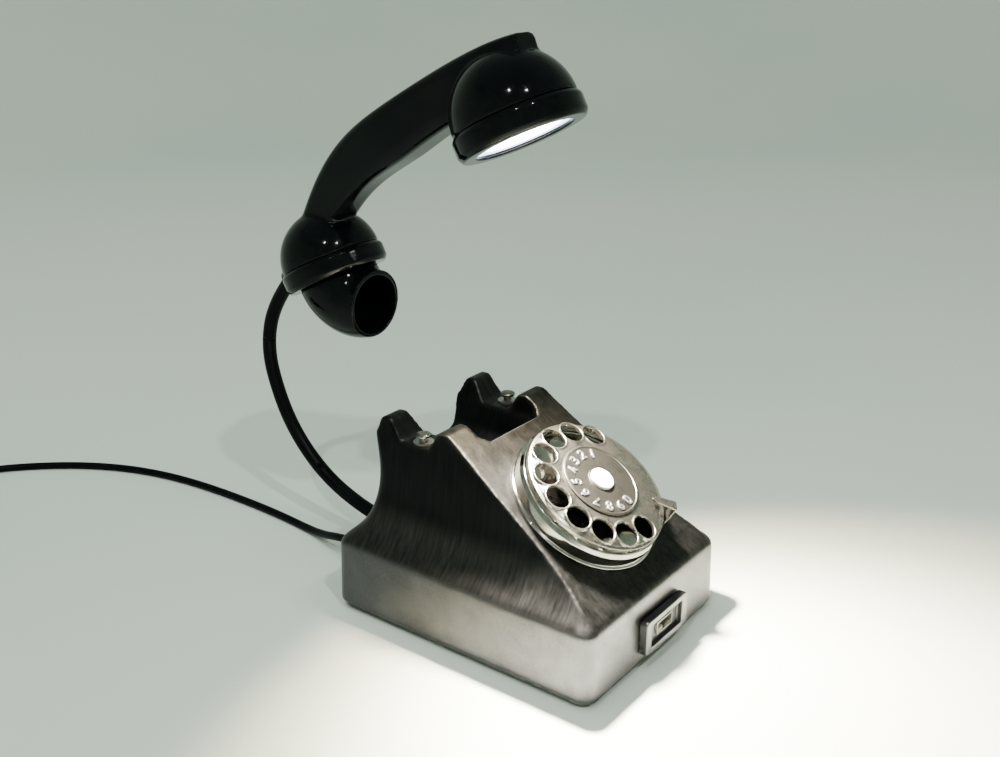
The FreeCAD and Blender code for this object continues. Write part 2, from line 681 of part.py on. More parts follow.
def make_power():
    case = padded("driver_case", "XY_Plane",
                  [(-24, -14, 2), (24, -14, 2), (24, 16, 2), (-24, 16, 2)], 20.0, at(0, 8, 4.0))
    node(case, "led_driver")
    block = box("block", 26.0, 11.0, 10.0, at(-38.0, 31.0, 4.0))
    bores = []
    for index in range(3):
        bores.append(cylinder(f"block_bore_{index}", 1.8, 4.0, at(-33.0 + 8.0 * index, 36.5, 11.0)))
    node(cut("terminals", block, *bores), "terminal_block")
    low = box("clamp_low", 20.0, 8.0, 5.4, at(-32.0, 65.0, 4.0))
    high = box("clamp_high", 20.0, 8.0, 3.0, at(-32.0, 65.0, 14.6))
    posts = [cylinder(f"clamp_post_{index}", 1.6, 6.0, at(-32.0 + 3.0 + 14.0 * index, 69.0, 9.0))
             for index in range(2)]
    node(fuse("clamp", low, high, *posts), "cord_clamp")
    flange = cylinder("gland_flange", 6.6, 2.2, along((-22, 79.95, 13.0), (0, 1, 0)))
    sleeve = cone("gland_sleeve", 4.8, 3.1, 16.9, along((-22, 82.1, 13.0), (0, 1, 0)))
    inner = cylinder("gland_inner", 4.3, 6.4, along((-22, 73.6, 13.0), (0, 1, 0)))
    node(fuse("gland", flange, sleeve, inner), "cord_gland")


# ---------------------------------------------------------------- arm

ARM_BASE = (0.0, 100.0, 18.7)
ARM_MIDDLE = (0.0, 184.3, 86.0)
ARM_HEAD = (0.0, 164.7, 151.3)
ARM_END = (0.0, -13.9, 13.6)
ARM_LOWER = [ARM_BASE, (0, 122.5, 23.6), (0, 144.5, 33.2), (0, 162.5, 47.6), (0, 176.0, 65.5),
             ARM_MIDDLE]
ARM_UPPER = [ARM_MIDDLE, (0, 187.6, 101.8), (0, 185.5, 119.0), (0, 178.2, 134.5), ARM_HEAD]


def make_arm():
    flange = cylinder("arm_flange", 9.0, 3.0, along((0, 79.95, 17.0), (0, 1, 0)))
    hexagon = padded("arm_nut", "XZ_Plane",
                     [(8.0 * math.cos(math.radians(60 * k)), 8.0 * math.sin(math.radians(60 * k)))
                      for k in range(6)], 5.0, at(0, 87.9, 17.0))
    neck = cylinder("arm_neck", 4.7, 12.0, along((0, 68.0, 17.0), (0, 1, 0)))
    bore = cylinder("arm_socket_bore", " .arm_radius", 24.0, along((0, 66.0, 17.0), (0, 1, 0)))
    node(cut("arm_socket_part", fuse("arm_socket_solid", flange, hexagon, neck), bore), "arm_socket")
    stub = tube("stub_tube", [(0, 70.0, 17.0), (0, 92.0, 17.0), ARM_BASE], size("arm_radius"))
    clear = sphere("stub_clear", " .arm_bore", at(*ARM_BASE))
    node(cut("stub", stub, clear), "arm_stub")
    lower = tube("lower_tube", ARM_LOWER, size("arm_radius"))
    ball = sphere("lower_ball", " .arm_ball", at(*ARM_BASE))
    clear = sphere("lower_clear", " .arm_bore", at(*ARM_MIDDLE))
    node(cut("lower", fuse("lower_solid", lower, ball), clear), "arm_lower")
    upper = tube("upper_tube", ARM_UPPER, size("arm_radius"))
    ball = sphere("upper_ball", " .arm_ball", at(*ARM_MIDDLE))
    clear = sphere("upper_clear", " .arm_bore", at(*ARM_HEAD))
    node(cut("upper", fuse("upper_solid", upper, ball), clear), "arm_upper")


# ---------------------------------------------------------------- handset

def handset_frame():
    """Local X runs from mouthpiece to earpiece, local Z away from both faces."""
    tilt = math.radians(size("handset_tilt"))
    x_axis = Vector(0, -math.cos(tilt), math.sin(tilt))
    z_axis = Vector(0, math.sin(tilt), math.cos(tilt))
    y_axis = z_axis.cross(x_axis)
    turn = Rotation(x_axis, y_axis, z_axis, "ZXY")
    return Placement(Vector(0, size("handset_y"), size("handset_z")), turn)


def on_handset(x=0.0, z=0.0, lean=0.0):
    """A placement on the handset; a lean turns its local Z towards the earpiece."""
    local = Placement(Vector(x, 0, z), Rotation(Vector(0, 1, 0), lean))
    return handset_frame().multiply(local)


# along the handset, height, lean of the section, half thickness, half width, corner radius
HANDLE = [
    (-9.0, 20.0, 38.0, 10.0, 12.0, 7.0),
    (16.0, 35.5, 55.0, 12.0, 11.0, 7.0),
    (42.0, 46.5, 72.0, 13.2, 11.8, 6.0),
    (80.0, 51.5, 84.0, 14.2, 12.8, 5.0),
    (114.0, 53.5, 88.0, 13.2, 12.4, 5.0),
    (146.0, 53.5, 93.0, 12.6, 11.4, 5.0),
    (171.0, 54.5, 97.0, 8.0, 8.5, 4.0),
]


def handle_section(index, x, z, lean, thick, wide, corner):
    points = [(-thick, -wide, corner), (thick, -wide, corner), (thick, wide, corner),
              (-thick, wide, corner)]
    return section(f"handle_{index}", points, on_handset(x, z, lean))


def upper_half(name, radius, x, z):
    """The half of a sphere that lies above a height on the handset."""
    ball = sphere(name + "_ball", radius, on_handset(x, z))
    reach = 40.0
    keep = box(name + "_keep", 2 * reach, 2 * reach, reach,
               on_handset(x, z).multiply(at(-reach, -reach, 0)))
    return common(name, ball, keep)


def make_handset_shell():
    ear_x = size("ear_along")
    ear_z = size("ear_up") + size("ear_high")
    mouth_z = size("mouth_high")
    handle = loft("handle", [handle_section(i, *row) for i, row in enumerate(HANDLE)])
    mouth = upper_half("mouth_half", size("mouth_dome"), 0.0, mouth_z)
    ear = upper_half("ear_half", size("ear_dome"), ear_x, ear_z)
    mouth_spigot = cylinder("mouth_spigot", 25.7, 7.0, on_handset(0.0, mouth_z - 7.0))
    ear_spigot = cylinder("ear_spigot", 28.7, 7.0, on_handset(ear_x, ear_z - 7.0))
    solid = fuse("handset_solid", handle, mouth, ear, mouth_spigot, ear_spigot)
    tools = [
        sphere("mouth_room", size("mouth_dome") - 3.2, on_handset(0.0, mouth_z)),
        sphere("ear_room", size("ear_dome") - 3.2, on_handset(ear_x, ear_z)),
        cylinder("mouth_low_room", 23.4, 9.0, on_handset(0.0, mouth_z - 9.0)),
        cylinder("ear_low_room", 26.6, 9.0, on_handset(ear_x, ear_z - 9.0)),
    ]
    below = box("below_mouth", 120.0, 80.0, 40.0, on_handset().multiply(at(-60, -40, mouth_z - 47)))
    tools.append(below)
    head = along(ARM_HEAD, ARM_END)
    tools.append(cylinder("ferrule_bore", 6.0, 24.0, head))
    node(cut("handset", solid, *tools), "handset_shell")
    ferrule = cylinder("ferrule_solid", 6.0, 15.0, head)
    clear = sphere("ferrule_clear", " .arm_bore", at(*ARM_HEAD))
    wire_bore = cylinder("ferrule_wire_bore", 2.0, 40.0, head)
    node(cut("ferrule", ferrule, clear, wire_bore), "arm_ferrule")


def make_mouthpiece():
    high = size("mouth_high")
    ring = revolved("mouth_ring", [(18.0, 0.0), (27.4, 0.0, 1.0), (29.0, 2.4, 1.2),
                                   (29.0, 9.2, 1.2), (27.6, high), (26.0, high), (26.0, 2.6),
                                   (18.0, 2.6)], on_handset())
    notch = cylinder("mouth_notch", 6.0, 24.0, along(ARM_HEAD, ARM_END))
    node(cut("mouth_ring_notched", ring, notch), "mouth_cap")
    rings = [(0.0, -0.1, 0.0, 22.0), (2.2, -9.0, -22.0, 21.6), (8.6, -17.4, -42.0, 20.0),
             (19.0, -21.0, -62.0, 18.4)]
    outer = []
    inner = []
    for index, (x, z, lean, radius) in enumerate(rings):
        outer.append(section_ring(f"horn_out_{index}", radius, on_handset(x, z, lean)))
    rings = [(0.0, 1.0, 0.0, 22.0)] + rings[1:3] + [(20.2, -21.64, -62.0, 18.3)]
    for index, (x, z, lean, radius) in enumerate(rings):
        inner.append(section_ring(f"horn_in_{index}", radius - 2.4, on_handset(x, z, lean)))
    horn = cut("horn", loft("horn_outer", outer), loft("horn_inner", inner))
    node(horn, "mouth_horn")
    node(cylinder("capsule", 21.0, 6.0, on_handset(0.0, 4.4)), "mouth_capsule")


def make_earpiece():
    x = size("ear_along")
    z = size("ear_up")
    high = size("ear_high")
    node(revolved("ear_ring", [(24.0, 0.0), (30.6, 0.0, 1.2), (32.3, 2.6, 1.4), (32.3, 10.0, 1.2),
                               (31.0, high), (29.0, high), (29.0, 2.2), (24.0, 2.2)],
                  on_handset(x, z)), "ear_cap")
    node(cylinder("lens", 26.4, 2.0, on_handset(x, z + 2.2)), "led_lens")
    node(cylinder("led_plate", 20.0, 1.6, on_handset(x, z + 10.4)), "led_board")
    node(revolved("chip", [(0.0, -2.6), (3.0, -2.2, 0.5), (4.6, 0.0), (0.0, 0.0)],
                  on_handset(x, z + 10.4)), "led_chip")
    cup = [(6.0, 9.6), (22.0, 4.6), (23.6, 4.6), (23.6, 5.4), (7.0, 10.4), (6.0, 10.4)]
    node(revolved("cup", cup, on_handset(x, z)), "led_reflector")
    core = cylinder("sink_core", 6.0, 12.0, on_handset(x, z + 12.0))
    fins = []
    for index in range(6):
        turn = on_handset(x, z + 12.0).multiply(at(axis=(0, 0, 1), angle=30.0 * index))
        fins.append(box(f"fin_{index}", 36.0, 1.4, 10.0, turn.multiply(at(-18.0, -0.7, 0))))
    node(fuse("sink", core, *fins), "led_heatsink")


# ---------------------------------------------------------------- mains lead

FLOOR_LINE = size("cord_radius") + 0.1
COIL_CENTRE = (-142.0, 354.0)
CORD = [
    (-22.0, 99.0, 13.0), (-22.0, 108.0, 13.0), (-20.2, 120.0, 10.2), (-16.4, 133.5, 5.6),
    (-12.6, 149.0, FLOOR_LINE), (-10.4, 174.0, FLOOR_LINE), (-9.6, 205.0, FLOOR_LINE),
    (-10.6, 240.0, FLOOR_LINE), (-14.2, 273.0, FLOOR_LINE), (-22.4, 304.0, FLOOR_LINE),
    (-36.0, 332.0, FLOOR_LINE), (-54.5, 356.5, FLOOR_LINE), (-76.0, 377.0, FLOOR_LINE),
    (-98.5, 389.3, FLOOR_LINE), (-122.5, 394.2, FLOOR_LINE), (-144.5, 392.0, FLOOR_LINE),
    (-159.1, 386.1, FLOOR_LINE),
]
PLUG_PLACE = 190.0
PLUG_REACH = 36.4


def make_cord():
    node(tube("cord_tube", CORD, size("cord_radius")), "mains_cord")
    outer = size("coil_outer")
    inner = size("coil_inner")
    high = size("coil_high")
    profile = [(inner, 0.05), (outer, 0.05), (outer, high, 2.0), (inner, high, 2.0)]
    node(revolved("coil", profile, at(COIL_CENTRE[0], COIL_CENTRE[1], 0.0)), "cord_coil")


def make_plug():
    spot = math.radians(PLUG_PLACE)
    place = Placement(Vector(COIL_CENTRE[0] + PLUG_REACH * math.cos(spot),
                             COIL_CENTRE[1] + PLUG_REACH * math.sin(spot), 0.0),
                      Rotation(Vector(0, 0, 1), PLUG_PLACE + 90.0))
    relief = cone("plug_relief", 3.2, 4.6, 10.0, place.multiply(along((20.0, 0, 7.05), (1, 0, 0))))
    body = padded("plug_solid", "XY_Plane",
                  [(29.8, -6.5, 2.0), (40.0, -12.5, 6.0), (60.0, -11.0, 2.0), (60.0, 11.0, 2.0),
                   (40.0, 12.5, 6.0), (29.8, 6.5, 2.0)], 14.0, place.multiply(at(z=0.05)))
    node(fuse("plug", body, relief), "plug_body")
    pins = []
    for sign in (-1, 1):
        pins.append(cylinder(f"pin_{sign + 1}", 2.0, 19.0,
                             place.multiply(along((60.0, sign * 9.0, 7.05), (1, 0, 0)))))
    node(group("pins", *pins), "plug_pins")


def check_and_write():
    """Stop on any failed object or bad shape, then write every sub-part."""
    doc.recompute()
    for thing in doc.Objects:
        if "Invalid" in thing.State or "Error" in thing.State:
            raise RuntimeError(f"{thing.Name} failed: {thing.State}")
    for thing in NODES:
        if thing.Shape.isNull() or not thing.Shape.isValid():
            raise RuntimeError(f"{thing.Label} has a bad shape")
    os.makedirs("parts", exist_ok=True)
    for thing in NODES:
        thing.Shape.exportStep(f"parts/{thing.Label}.step")
    print(len(NODES), "sub-parts written")


make_body_shell()
make_base()
make_plunger("left", -1)
make_plunger("right", 1)
make_hook()
make_dial_case()
make_finger_wheel()
make_dial_gears()
make_dial_works()
make_port()
make_power()
make_arm()
make_handset_shell()
make_mouthpiece()
make_earpiece()
make_cord()
make_plug()
check_and_write()
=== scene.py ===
"""Looks of the dial-telephone lamp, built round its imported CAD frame. Metres, row frame."""

import json
import math

import bmesh
import bpy
import numpy as np
from mathutils import Matrix, Vector


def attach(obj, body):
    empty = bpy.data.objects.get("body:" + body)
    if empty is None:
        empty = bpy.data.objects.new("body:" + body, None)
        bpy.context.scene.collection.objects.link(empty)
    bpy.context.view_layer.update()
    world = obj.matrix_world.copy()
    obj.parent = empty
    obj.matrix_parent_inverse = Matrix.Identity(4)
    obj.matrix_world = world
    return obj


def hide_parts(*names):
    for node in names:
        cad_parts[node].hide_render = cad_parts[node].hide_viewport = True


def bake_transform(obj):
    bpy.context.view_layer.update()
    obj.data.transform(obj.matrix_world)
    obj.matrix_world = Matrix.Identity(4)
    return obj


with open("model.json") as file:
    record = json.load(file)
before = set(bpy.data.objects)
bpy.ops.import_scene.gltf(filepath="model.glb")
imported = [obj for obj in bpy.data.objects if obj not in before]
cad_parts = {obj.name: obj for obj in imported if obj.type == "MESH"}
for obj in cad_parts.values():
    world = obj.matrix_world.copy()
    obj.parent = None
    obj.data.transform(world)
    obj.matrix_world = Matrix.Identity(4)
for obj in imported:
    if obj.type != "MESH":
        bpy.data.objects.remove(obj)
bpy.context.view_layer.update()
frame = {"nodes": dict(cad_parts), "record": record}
nodes = frame["nodes"]

MM = 0.001
SLOPE = math.radians(34.6)
DIAL_CENTRE = Vector((0.0, -42.7, 82.2)) * MM
DIAL_OUT = Vector((0.0, -math.sin(SLOPE), math.cos(SLOPE)))
DIAL_UP = Vector((0.0, math.cos(SLOPE), math.sin(SLOPE)))
HOLE_ZERO = 272.2
HOLE_PITCH = 25.2
HOLE_CIRCLE = 30.6
LIP_HEIGHT = 2.57
NUMERAL_CIRCLE = 15.6
NUMERAL_HEIGHT = 4.25
CASTING_BELOW_DIAL = 0.0142
TILT = math.radians(27.4)
HANDSET_ORIGIN = Vector((0.0, 126.5, 158.5)) * MM
HANDSET_ALONG = Vector((0.0, -math.cos(TILT), math.sin(TILT)))
HANDSET_BACK = Vector((0.0, math.sin(TILT), math.cos(TILT)))
EAR_ALONG = 150.8
EAR_UP = 19.3


def mm(x, y, z):
    return Vector((x, y, z)) * MM


def on_dial(radius, degrees, out):
    """A point over the dial: polar place in its plane and height above it, in millimetres."""
    angle = math.radians(degrees)
    return (DIAL_CENTRE + Vector((1, 0, 0)) * (radius * math.cos(angle) * MM)
            + DIAL_UP * (radius * math.sin(angle) * MM) + DIAL_OUT * (out * MM))


def on_handset(along, back, side=0.0):
    """A point by the handset: along its handle, out of its back, sideways, in millimetres."""
    return (HANDSET_ORIGIN + HANDSET_ALONG * (along * MM) + HANDSET_BACK * (back * MM)
            + Vector((side * MM, 0, 0)))


# ---------------------------------------------------------------- camera

CAMERA_PLACE = mm(-446.9, -322.5, 336.5)
CAMERA_RIGHT = Vector((0.6033, -0.7975, -0.0036))
CAMERA_UP = Vector((0.2842, 0.2108, 0.9353))
CAMERA_LENS = 42.9


def make_camera():
    data = bpy.data.cameras.new("camera")
    data.lens = CAMERA_LENS
    data.sensor_width = 36.0
    data.clip_start = 0.02
    data.clip_end = 50.0
    camera = bpy.data.objects.new("camera", data)
    bpy.context.scene.collection.objects.link(camera)
    right = CAMERA_RIGHT.normalized()
    up = (CAMERA_UP - right * CAMERA_UP.dot(right)).normalized()
    back = right.cross(up)
    turn = Matrix((right, up, back)).transposed()
    camera.matrix_world = Matrix.Translation(CAMERA_PLACE) @ turn.to_4x4()
    bpy.context.scene.camera = camera


make_camera()

# ---------------------------------------------------------------- materials


class Paint:
    """A Principled material whose colour, roughness and bump come from small node chains."""

    def __init__(self, name, colour, roughness, metallic=0.0):
        self.material = bpy.data.materials.new(name)
        self.material.use_nodes = True
        self.tree = self.material.node_tree
        self.shader = self.tree.nodes["Principled BSDF"]
        self.put("Base Color", (*colour, 1.0))
        self.put("Roughness", roughness)
        self.put("Metallic", metallic)
        self.place = self.tree.nodes.new("ShaderNodeTexCoord").outputs["Object"]

    def put(self, socket, value):
        self.shader.inputs[socket].default_value = value

    def join(self, source, socket):
        self.tree.links.new(source, socket)

    def feed(self, socket, source):
        self.join(source, self.shader.inputs[socket])

    def mapped(self, scale):
        node = self.tree.nodes.new("ShaderNodeMapping")
        node.inputs["Scale"].default_value = scale
        self.join(self.place, node.inputs["Vector"])
        return node.outputs["Vector"]

    def noise(self, scale, detail=4.0, rough=0.55, stretch=(1, 1, 1), warp=0.0):
        node = self.tree.nodes.new("ShaderNodeTexNoise")
        node.inputs["Scale"].default_value = scale
        node.inputs["Detail"].default_value = detail
        node.inputs["Roughness"].default_value = rough
        node.inputs["Distortion"].default_value = warp
        self.join(self.mapped(stretch), node.inputs["Vector"])
        return node.outputs["Fac"]

    def cells(self, scale):
        node = self.tree.nodes.new("ShaderNodeTexVoronoi")
        node.inputs["Scale"].default_value = scale
        self.join(self.mapped((1, 1, 1)), node.inputs["Vector"])
        return node.outputs["Distance"]

    def attribute(self, name):
        node = self.tree.nodes.new("ShaderNodeAttribute")
        node.attribute_name = name
        return node.outputs["Fac"]

    def span(self, source, low, high, start=0.0, end=1.0):
        node = self.tree.nodes.new("ShaderNodeMapRange")
        node.clamp = True
        node.inputs["From Min"].default_value = low
        node.inputs["From Max"].default_value = high
        node.inputs["To Min"].default_value = start
        node.inputs["To Max"].default_value = end
        self.join(source, node.inputs["Value"])
        return node.outputs["Result"]

    def calc(self, kind, a, b):
        node = self.tree.nodes.new("ShaderNodeMath")
        node.operation = kind
        for socket, value in zip(node.inputs, (a, b)):
            if isinstance(value, (int, float)):
                socket.default_value = value
            else:
                self.join(value, socket)
        return node.outputs["Value"]

    def mix(self, share, a, b):
        """Two colours mixed. Sockets 6 and 7, and output 2, are the Mix node's colour ones."""
        node = self.tree.nodes.new("ShaderNodeMix")
        node.data_type = "RGBA"
        self.join(share, node.inputs["Factor"])
        for socket, value in ((node.inputs[6], a), (node.inputs[7], b)):
            if isinstance(value, tuple):
                socket.default_value = (*value, 1.0)
            else:
                self.join(value, socket)
        return node.outputs[2]

    def bump(self, source, strength, distance=0.0004, under=None):
        node = self.tree.nodes.new("ShaderNodeBump")
        node.inputs["Strength"].default_value = strength
        node.inputs["Distance"].default_value = distance
        self.join(source, node.inputs["Height"])
        if under is not None:
            self.join(under, node.inputs["Normal"])
        self.feed("Normal", node.outputs["Normal"])
        return node.outputs["Normal"]


def normal_part(paint, which):
    """One part of the surface's own direction, in object space."""
    split = paint.tree.nodes.new("ShaderNodeSeparateXYZ")
    direction = paint.tree.nodes.new("ShaderNodeTexCoord")
    paint.join(direction.outputs["Normal"], split.inputs[0])
    return split.outputs[which]


def cast_metal():
    """Worn gunmetal casting: lighter ground skirt, dark brushed flare, cheeks darkened by painted
    shade, rubbed edges lightened by a painted highlight.
    """
    p = Paint("cast_metal", (0.1, 0.1, 0.1), 0.4, 0.92)
    across_y = p.noise(620, 5.0, 0.62, (0.20, 1.0, 0.07))
    across_x = p.noise(620, 5.0, 0.62, (1.0, 0.09, 0.07))
    side = p.span(p.calc("ABSOLUTE", normal_part(p, 0), 0.0), 0.25, 0.75)
    streak = p.mix(side, across_x, across_y)
    cloud = p.noise(42, 4.0, 0.6, (1, 1, 1), 0.6)
    grain = p.noise(1900, 2.0, 0.6)
    dark = p.mix(p.span(streak, 0.30, 0.80), (0.018, 0.0185, 0.019), (0.066, 0.064, 0.0605))
    dark = p.mix(p.span(cloud, 0.45, 0.80), dark, (0.038, 0.035, 0.030))
    ground = p.mix(p.span(cloud, 0.35, 0.68), (0.070, 0.0675, 0.070), (0.098, 0.0945, 0.0975))
    ground = p.mix(p.span(grain, 0.50, 0.80), ground, (0.128, 0.124, 0.126))
    patch = p.noise(150, 5.0, 0.7, (1, 1, 1), 1.2)
    slope = p.mix(p.span(patch, 0.34, 0.68), (0.0084, 0.0084, 0.0078), (0.0270, 0.0273, 0.0252))
    slope = p.mix(p.span(streak, 0.45, 0.95), slope, (0.037, 0.0375, 0.035))
    # Near-black cheek colour: painted shade.
    black = p.mix(p.span(streak, 0.40, 0.90), (0.0028, 0.0036, 0.0042), (0.011, 0.011, 0.011))
    colour = p.mix(p.attribute("skirt"), dark, ground)
    colour = p.mix(p.attribute("slope"), colour, slope)
    colour = p.mix(p.attribute("cheek"), colour, black)
    # Painted highlight on convex crests, partly rubbed wear: lighter and smoother there.
    edge = p.span(p.calc("ADD", p.attribute("edge"), p.calc("MULTIPLY", patch, 0.45)), 0.65, 1.45)
    colour = p.mix(edge, colour, (0.135, 0.140, 0.136))
    p.feed("Base Color", colour)
    rough = p.span(p.noise(120, 4.0, 0.6), 0.3, 0.7, 0.33, 0.47)
    p.feed("Roughness", p.calc("SUBTRACT", rough, p.calc("MULTIPLY", edge, 0.10)))
    first = p.bump(streak, 0.06, 0.0002)
    p.bump(grain, 0.12, 0.00012, first)
    return p.material


def worn_plate(name, light, dark, low, high, scratch=0.10):
    """Old plated metal: cloudy tarnish, fine scratches in all directions."""
    p = Paint(name, light, low, 1.0)
    cloud = p.noise(110, 5.0, 0.65, (1, 1, 1), 0.8)
    fine = p.noise(900, 3.0, 0.7, (1.0, 0.25, 0.6))
    colour = p.mix(p.span(cloud, 0.42, 0.68), light, dark)
    p.feed("Base Color", p.mix(p.span(fine, 0.55, 0.8), colour, dark))
    p.feed("Roughness", p.span(cloud, 0.35, 0.7, low, high))
    p.bump(fine, scratch, 0.00008)
    return p.material


def plain_metal(name, colour, roughness, brushed=0.3):
    p = Paint(name, colour, roughness, 1.0)
    lines = p.noise(500, 3.0, 0.6, (1.0, 0.12, 0.5))
    darker = tuple(part * 0.7 for part in colour)
    p.feed("Base Color", p.mix(p.span(lines, 0.4, 0.75), colour, darker))
    p.feed("Roughness", p.span(lines, 0.3, 0.7, roughness * 0.85, roughness * 1.25))
    p.bump(lines, brushed * 0.3, 0.00006)
    return p.material


def moulded(name, colour, roughness, grain_scale=700, grain=0.05, shine=0.5):
    """Plastic or rubber: slight mottling and a fine moulded surface."""
    p = Paint(name, colour, roughness)
    fine = p.noise(grain_scale, 3.0, 0.6)
    cloud = p.noise(60, 3.0, 0.55)
    lighter = tuple(min(1.0, part * 1.5 + 0.002) for part in colour)
    p.feed("Base Color", p.mix(p.span(cloud, 0.35, 0.75), colour, lighter))
    p.feed("Roughness", p.span(cloud, 0.3, 0.7, roughness * 0.85, roughness * 1.2))
    p.put("Specular IOR Level", shine)
    p.bump(fine, grain, 0.00006)
    return p.material


def bakelite():
    """Black, polished by hands: almost mirror-like, with faint dust and hairline marks."""
    p = Paint("bakelite", (0.0012, 0.0018, 0.0022), 0.08)
    cloud = p.noise(50, 4.0, 0.6)
    hair = p.noise(600, 4.0, 0.7, (1.0, 0.15, 0.4), 0.4)
    p.feed("Base Color", p.mix(p.span(cloud, 0.4, 0.8), (0.0010, 0.0016, 0.0020),
                               (0.0030, 0.0036, 0.0040)))
    p.feed("Roughness", p.span(hair, 0.45, 0.8, 0.07, 0.20))
    p.put("Specular IOR Level", 0.12)
    p.bump(cloud, 0.05, 0.0003)
    return p.material


def lens_glow():
    """The diffuser over the LED: lit in the middle, fading to its rim."""
    p = Paint("lens_glow", (0.9, 0.93, 1.0), 0.25)
    centre = on_handset(EAR_ALONG, EAR_UP)
    offset = p.tree.nodes.new("ShaderNodeVectorMath")
    offset.operation = "DISTANCE"
    p.join(p.place, offset.inputs[0])
    offset.inputs[1].default_value = centre
    reach = offset.outputs["Value"]
    p.feed("Base Color", p.mix(p.span(reach, 0.004, 0.024), (0.95, 0.98, 1.0), (0.55, 0.60, 0.64)))
    glow = p.mix(p.span(reach, 0.003, 0.020), (1.0, 1.0, 1.0), (0.035, 0.042, 0.050))
    p.feed("Emission Color", glow)
    p.put("Emission Strength", 110.0)
    return p.material


def lit(name, colour, strength):
    p = Paint(name, colour, 0.4)
    fine = p.noise(900, 2.0)
    p.feed("Emission Color", p.mix(p.span(fine, 0.3, 0.8), colour, (1.0, 0.95, 0.8)))
    p.put("Emission Strength", strength)
    return p.material


def cream_cap():
    p = Paint("cream_cap", (0.86, 0.83, 0.74), 0.22)
    cloud = p.noise(260, 5.0, 0.7)
    crazing = p.noise(700, 4.0, 0.8, (1, 1, 1), 1.5)
    aged = p.mix(p.span(cloud, 0.45, 0.75), (0.88, 0.86, 0.79), (0.66, 0.60, 0.46))
    p.feed("Base Color", p.mix(p.span(crazing, 0.66, 0.8), aged, (0.35, 0.30, 0.22)))
    p.bump(cloud, 0.06, 0.0001)
    return p.material


def circuit_board():
    p = Paint("board", (0.03, 0.16, 0.08), 0.35)
    p.feed("Base Color", p.mix(p.span(p.cells(500), 0.3, 0.5), (0.02, 0.13, 0.06),
                               (0.05, 0.22, 0.11)))
    return p.material


LOOKS = {
    "cast_metal": cast_metal(),
    "dark_plate": moulded("dark_plate", (0.035, 0.037, 0.037), 0.5, 900, 0.15),
    "steel": plain_metal("steel", (0.50, 0.50, 0.49), 0.34),
    "rubber": moulded("rubber", (0.018, 0.018, 0.018), 0.75, 1500, 0.2),
    "nickel": worn_plate("nickel", (0.29, 0.278, 0.238), (0.100, 0.090, 0.070), 0.22, 0.42),
    "chrome": worn_plate("chrome", (0.50, 0.49, 0.45), (0.28, 0.27, 0.235), 0.06, 0.17, 0.04),
    "pewter": worn_plate("pewter", (0.095, 0.092, 0.078), (0.036, 0.033, 0.027), 0.32, 0.48, 0.16),
    "cream": cream_cap(),
    "brass": plain_metal("brass", (0.68, 0.52, 0.25), 0.28),
    "black_plastic": moulded("black_plastic", (0.012, 0.012, 0.013), 0.30, 1200, 0.06),
    "bakelite": bakelite(),
    "white_plastic": moulded("white_plastic", (0.74, 0.74, 0.72), 0.35),
    "board": circuit_board(),
    "lens": lens_glow(),
    "led": lit("led", (1.0, 1.0, 0.97), 60.0),
    "fin_aluminium": plain_metal("fin_aluminium", (0.66, 0.66, 0.66), 0.38),
    "cord_black": moulded("cord_black", (0.0010, 0.0015, 0.0019), 0.40, 1500, 0.05, 0.06),
}
SLOT_OF = {part["node"]: part["material_slot"] for part in frame["record"]["subparts"]}


def paint(obj, look):
    obj.data.materials.clear()
    obj.data.materials.append(LOOKS[look])


for node_name, node_object in nodes.items():
    paint(node_object, SLOT_OF[node_name])


# ---------------------------------------------------------------- mesh helpers

def new_object(name, mesh):
    obj = bpy.data.objects.new(name, mesh)
    bpy.context.scene.collection.objects.link(obj)
    return obj


def from_bmesh(name, made):
    """A new object made from a bmesh, which is freed."""
    mesh = bpy.data.meshes.new(name)
    made.to_mesh(mesh)
    made.free()
    return new_object(name, mesh)


def smooth_faces(mesh):
    mesh.polygons.foreach_set("use_smooth", [True] * len(mesh.polygons))


def cad_copy(*names):
    """The CAD meshes of these nodes in one new bmesh."""
    made = bmesh.new()
    for name in names:
        made.from_mesh(nodes[name].data)
    return made


def add_ring(made, centre, axis, radius, thick, steps=48, sides=10):
    """A torus about an axis, added to a bmesh."""
    turn = axis.to_track_quat("Z", "Y").to_matrix()
    rings = []
    for k in range(steps):
        a = 2 * math.pi * k / steps
        loop = []
        for j in range(sides):
            b = 2 * math.pi * j / sides
            r = radius + thick * math.cos(b)
            loop.append(made.verts.new(
                centre + turn @ Vector((r * math.cos(a), r * math.sin(a), thick * math.sin(b)))))
        rings.append(loop)
    for k in range(steps):
        here, there = rings[k], rings[(k + 1) % steps]
        for j in range(sides):
            i = (j + 1) % sides
            made.faces.new((here[j], there[j], there[i], here[i]))


def softened(name, made, voxel, rounds, factor=0.5):
    """The bmesh remeshed and smoothed, so that every cast or moulded edge is rounded."""
    mesh = bpy.data.meshes.new(name + "_rough")
    made.to_mesh(mesh)
    made.free()
    rough = new_object(name + "_rough", mesh)
    remesh = rough.modifiers.new("remesh", "REMESH")
    remesh.mode = "VOXEL"
    remesh.voxel_size = voxel
    remesh.adaptivity = 0.0
    soft = rough.modifiers.new("soft", "SMOOTH")
    soft.factor = factor
    soft.iterations = rounds
    graph = bpy.context.evaluated_depsgraph_get()
    final = bpy.data.meshes.new_from_object(rough.evaluated_get(graph))
    final.name = name
    bpy.data.objects.remove(rough)
    smooth_faces(final)
    return new_object(name, final)


def finish_piece(obj, body, look, *stands_for):
    """Paints a piece, sets its body, and hides the CAD nodes it replaces."""
    paint(obj, look)
    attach(obj, body)
    if stands_for:
        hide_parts(*stands_for)
    return obj


